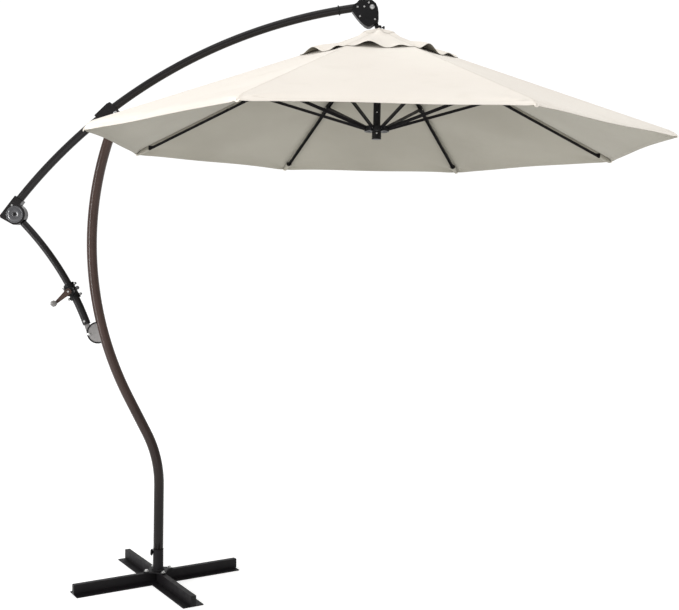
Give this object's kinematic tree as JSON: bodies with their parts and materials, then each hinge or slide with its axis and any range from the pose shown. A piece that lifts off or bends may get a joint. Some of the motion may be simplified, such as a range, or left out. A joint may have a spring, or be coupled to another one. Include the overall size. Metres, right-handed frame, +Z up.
{
  "type": "cantilever patio umbrella",
  "caption": "Cantilever patio umbrella: curved mast on a cross base, bent boom with telescoping strut and crank, folding octagonal canopy with a vent cap.",
  "frame": {"origin": "on the floor under the middle of the cross base, on the underside of the long beam", "axes": "+X from the mast towards the canopy, +Z up, mast, boom and strut in the plane y = 0"},
  "size_m": [3.0684, 2.5328, 2.818],
  "materials": {
    "black_coat": "matt black powder coat",
    "bronze_coat": "satin bronze-brown powder coat",
    "charcoal_coat": "satin charcoal powder coat",
    "charcoal_aluminium": "charcoal powder coat on aluminium",
    "black_aluminium": "black coated aluminium",
    "black_plastic": "black moulded plastic",
    "steel": "bright zinc plated steel",
    "canvas": "cream woven canvas",
    "cord": "white braided cord"
  },
  "bodies": {
    "base": {"base_beam_long": "black_coat", "base_beam_left": "black_coat", "base_beam_right": "black_coat", "base_foot_plate": "black_coat", "base_bolt_1": "steel", "base_bolt_2": "steel", "base_bolt_3": "steel", "base_bolt_4": "steel", "base_post": "black_coat", "swivel_washer": "black_plastic"},
    "lock_knob": {"swivel_lock_knob": "black_plastic"},
    "mast": {"mast_tube": "bronze_coat", "mast_spigot": "steel", "mast_top_lug": "charcoal_coat", "strut_bracket": "steel", "boom_pivot_bolt": "steel", "strut_pivot_bolt": "steel"},
    "boom": {"boom_tube": "charcoal_aluminium", "boom_saddle": "charcoal_coat", "knuckle_shell_near": "charcoal_aluminium", "knuckle_shell_far": "charcoal_aluminium", "knuckle_pin": "steel", "head_shell_near": "black_plastic", "head_shell_far": "black_plastic", "tilt_pin": "steel", "lift_cord_boom": "cord"},
    "knuckle_pulley": {"knuckle_pulley": "black_plastic"},
    "head_pulley": {"head_pulley": "black_plastic"},
    "strut_lower": {"strut_lower_tube": "charcoal_coat", "strut_foot": "steel", "crank_housing": "black_plastic"},
    "strut_upper": {"strut_upper_tube": "charcoal_coat", "strut_eye": "steel"},
    "crank": {"winch_spindle": "steel", "crank_arm": "bronze_coat"},
    "crank_knob": {"crank_knob": "black_plastic"},
    "canopy_head": {"tilt_neck": "black_plastic", "canopy_pole": "black_aluminium", "top_hub": "black_plastic", "canopy_cloth": "canvas", "vent_cap": "canvas", "lift_cord_drop": "cord"},
    "tilt_screw": {"tilt_lock_screw": "black_plastic"},
    "runner": {"runner": "black_plastic"},
    "rib_1": {"rib_1": "black_aluminium"},
    "stay_1": {"stay_1": "black_aluminium"},
    "rib_2": {"rib_2": "black_aluminium"},
    "stay_2": {"stay_2": "black_aluminium"},
    "rib_3": {"rib_3": "black_aluminium"},
    "stay_3": {"stay_3": "black_aluminium"},
    "rib_4": {"rib_4": "black_aluminium"},
    "stay_4": {"stay_4": "black_aluminium"},
    "rib_5": {"rib_5": "black_aluminium"},
    "stay_5": {"stay_5": "black_aluminium"},
    "rib_6": {"rib_6": "black_aluminium"},
    "stay_6": {"stay_6": "black_aluminium"},
    "rib_7": {"rib_7": "black_aluminium"},
    "stay_7": {"stay_7": "black_aluminium"},
    "rib_8": {"rib_8": "black_aluminium"},
    "stay_8": {"stay_8": "black_aluminium"}
  },
  "joints": [
    {"name": "mast_swivel", "type": "hinge", "parent": "base", "child": "mast", "pos_m": [0, 0, 0.158], "axis": [0, 0, 1], "continuous": true},
    {"name": "lock_knob_turn", "type": "hinge", "parent": "base", "child": "lock_knob", "pos_m": [-0.025, 0, 0.142], "axis": [-1, 0, 0], "continuous": true},
    {"name": "boom_lift", "type": "hinge", "parent": "mast", "child": "boom", "pos_m": [-0.22296, 0, 2.26372], "axis": [0, -1, 0], "range_deg": [0, 10]},
    {"name": "knuckle_pulley_spin", "type": "hinge", "parent": "boom", "child": "knuckle_pulley", "pos_m": [-0.703, 0, 1.774], "axis": [0, -1, 0], "range_deg": [0, 4073.66]},
    {"name": "head_pulley_spin", "type": "hinge", "parent": "boom", "child": "head_pulley", "pos_m": [0.993, 0, 2.785], "axis": [0, -1, 0], "range_deg": [0, 4073.66]},
    {"name": "strut_swing", "type": "hinge", "parent": "mast", "child": "strut_lower", "pos_m": [-0.342, 0, 1.204], "axis": [0, -1, 0], "range_deg": [-1.2, 0]},
    {"name": "strut_telescope", "type": "hinge", "parent": "strut_lower", "child": "strut_upper", "pos_m": [-1.686, 0, 0.738], "axis": [0, -1, 0], "range_deg": [-4.7, 0]},
    {"name": "crank_spin", "type": "hinge", "parent": "strut_lower", "child": "crank", "pos_m": [-0.434, 0, 1.409], "axis": [0, -1, 0], "range_deg": [0, 4249.95]},
    {"name": "crank_knob_spin", "type": "hinge", "parent": "crank", "child": "crank_knob", "pos_m": [-0.4975, 0, 1.3508], "axis": [0, -1, 0], "continuous": true},
    {"name": "canopy_tilt", "type": "hinge", "parent": "boom", "child": "canopy_head", "pos_m": [0.993, 0, 2.785], "axis": [0, -1, 0], "range_deg": [0, 20]},
    {"name": "tilt_screw_turn", "type": "hinge", "parent": "canopy_head", "child": "tilt_screw", "pos_m": [1.0395, 0, 2.694], "axis": [1, 0, 0], "continuous": true},
    {"name": "runner_slide", "type": "slide", "parent": "canopy_head", "child": "runner", "axis": [0, 0, -1], "range_m": [0, 0.849], "deforming": ["canopy_cloth", "vent_cap", "lift_cord_drop"]},
    {"name": "rib_1_fold", "type": "hinge", "parent": "canopy_head", "child": "rib_1", "pos_m": [1.07219, 0.01913, 2.645], "axis": [-0.3827, 0.9239, 0], "range_deg": [0, 61]},
    {"name": "stay_1_fold", "type": "hinge", "parent": "rib_1", "child": "stay_1", "pos_m": [1.63572, 0.25255, 2.40712], "axis": [0.3827, -0.9239, 0], "range_deg": [0, 125]},
    {"name": "rib_2_fold", "type": "hinge", "parent": "canopy_head", "child": "rib_2", "pos_m": [1.04513, 0.04619, 2.645], "axis": [-0.9239, 0.3827, 0], "range_deg": [0, 61]},
    {"name": "stay_2_fold", "type": "hinge", "parent": "rib_2", "child": "stay_2", "pos_m": [1.27855, 0.60972, 2.40712], "axis": [0.9239, -0.3827, 0], "range_deg": [0, 125]},
    {"name": "rib_3_fold", "type": "hinge", "parent": "canopy_head", "child": "rib_3", "pos_m": [1.00687, 0.04619, 2.645], "axis": [-0.9239, -0.3827, 0], "range_deg": [0, 61]},
    {"name": "stay_3_fold", "type": "hinge", "parent": "rib_3", "child": "stay_3", "pos_m": [0.77345, 0.60972, 2.40712], "axis": [0.9239, 0.3827, 0], "range_deg": [0, 125]},
    {"name": "rib_4_fold", "type": "hinge", "parent": "canopy_head", "child": "rib_4", "pos_m": [0.97981, 0.01913, 2.645], "axis": [-0.3827, -0.9239, 0], "range_deg": [0, 61]},
    {"name": "stay_4_fold", "type": "hinge", "parent": "rib_4", "child": "stay_4", "pos_m": [0.41628, 0.25255, 2.40712], "axis": [0.3827, 0.9239, 0], "range_deg": [0, 125]},
    {"name": "rib_5_fold", "type": "hinge", "parent": "canopy_head", "child": "rib_5", "pos_m": [0.97981, -0.01913, 2.645], "axis": [0.3827, -0.9239, 0], "range_deg": [0, 61]},
    {"name": "stay_5_fold", "type": "hinge", "parent": "rib_5", "child": "stay_5", "pos_m": [0.41628, -0.25255, 2.40712], "axis": [-0.3827, 0.9239, 0], "range_deg": [0, 125]},
    {"name": "rib_6_fold", "type": "hinge", "parent": "canopy_head", "child": "rib_6", "pos_m": [1.00687, -0.04619, 2.645], "axis": [0.9239, -0.3827, 0], "range_deg": [0, 61]},
    {"name": "stay_6_fold", "type": "hinge", "parent": "rib_6", "child": "stay_6", "pos_m": [0.77345, -0.60972, 2.40712], "axis": [-0.9239, 0.3827, 0], "range_deg": [0, 125]},
    {"name": "rib_7_fold", "type": "hinge", "parent": "canopy_head", "child": "rib_7", "pos_m": [1.04513, -0.04619, 2.645], "axis": [0.9239, 0.3827, 0], "range_deg": [0, 61]},
    {"name": "stay_7_fold", "type": "hinge", "parent": "rib_7", "child": "stay_7", "pos_m": [1.27855, -0.60972, 2.40712], "axis": [-0.9239, -0.3827, 0], "range_deg": [0, 125]},
    {"name": "rib_8_fold", "type": "hinge", "parent": "canopy_head", "child": "rib_8", "pos_m": [1.07219, -0.01913, 2.645], "axis": [0.3827, 0.9239, 0], "range_deg": [0, 61]},
    {"name": "stay_8_fold", "type": "hinge", "parent": "rib_8", "child": "stay_8", "pos_m": [1.63572, -0.25255, 2.40712], "axis": [-0.3827, -0.9239, 0], "range_deg": [0, 125]}
  ],
  "couplings": [
    {"joint": "strut_swing", "follows": "boom_lift", "ratio": -0.10912},
    {"joint": "strut_telescope", "follows": "boom_lift", "ratio": -0.46597},
    {"joint": "crank_spin", "follows": "runner_slide", "rad_per_m": 86.957},
    {"joint": "knuckle_pulley_spin", "follows": "runner_slide", "rad_per_m": 83.333},
    {"joint": "head_pulley_spin", "follows": "runner_slide", "rad_per_m": 83.333},
    {"joint": "rib_1_fold", "follows": "runner_slide", "rad_per_m": 1.2474},
    {"joint": "stay_1_fold", "follows": "runner_slide", "rad_per_m": 2.5644},
    {"joint": "rib_2_fold", "follows": "runner_slide", "rad_per_m": 1.2474},
    {"joint": "stay_2_fold", "follows": "runner_slide", "rad_per_m": 2.5644},
    {"joint": "rib_3_fold", "follows": "runner_slide", "rad_per_m": 1.2474},
    {"joint": "stay_3_fold", "follows": "runner_slide", "rad_per_m": 2.5644},
    {"joint": "rib_4_fold", "follows": "runner_slide", "rad_per_m": 1.2474},
    {"joint": "stay_4_fold", "follows": "runner_slide", "rad_per_m": 2.5644},
    {"joint": "rib_5_fold", "follows": "runner_slide", "rad_per_m": 1.2474},
    {"joint": "stay_5_fold", "follows": "runner_slide", "rad_per_m": 2.5644},
    {"joint": "rib_6_fold", "follows": "runner_slide", "rad_per_m": 1.2474},
    {"joint": "stay_6_fold", "follows": "runner_slide", "rad_per_m": 2.5644},
    {"joint": "rib_7_fold", "follows": "runner_slide", "rad_per_m": 1.2474},
    {"joint": "stay_7_fold", "follows": "runner_slide", "rad_per_m": 2.5644},
    {"joint": "rib_8_fold", "follows": "runner_slide", "rad_per_m": 1.2474},
    {"joint": "stay_8_fold", "follows": "runner_slide", "rad_per_m": 2.5644}
  ]
}
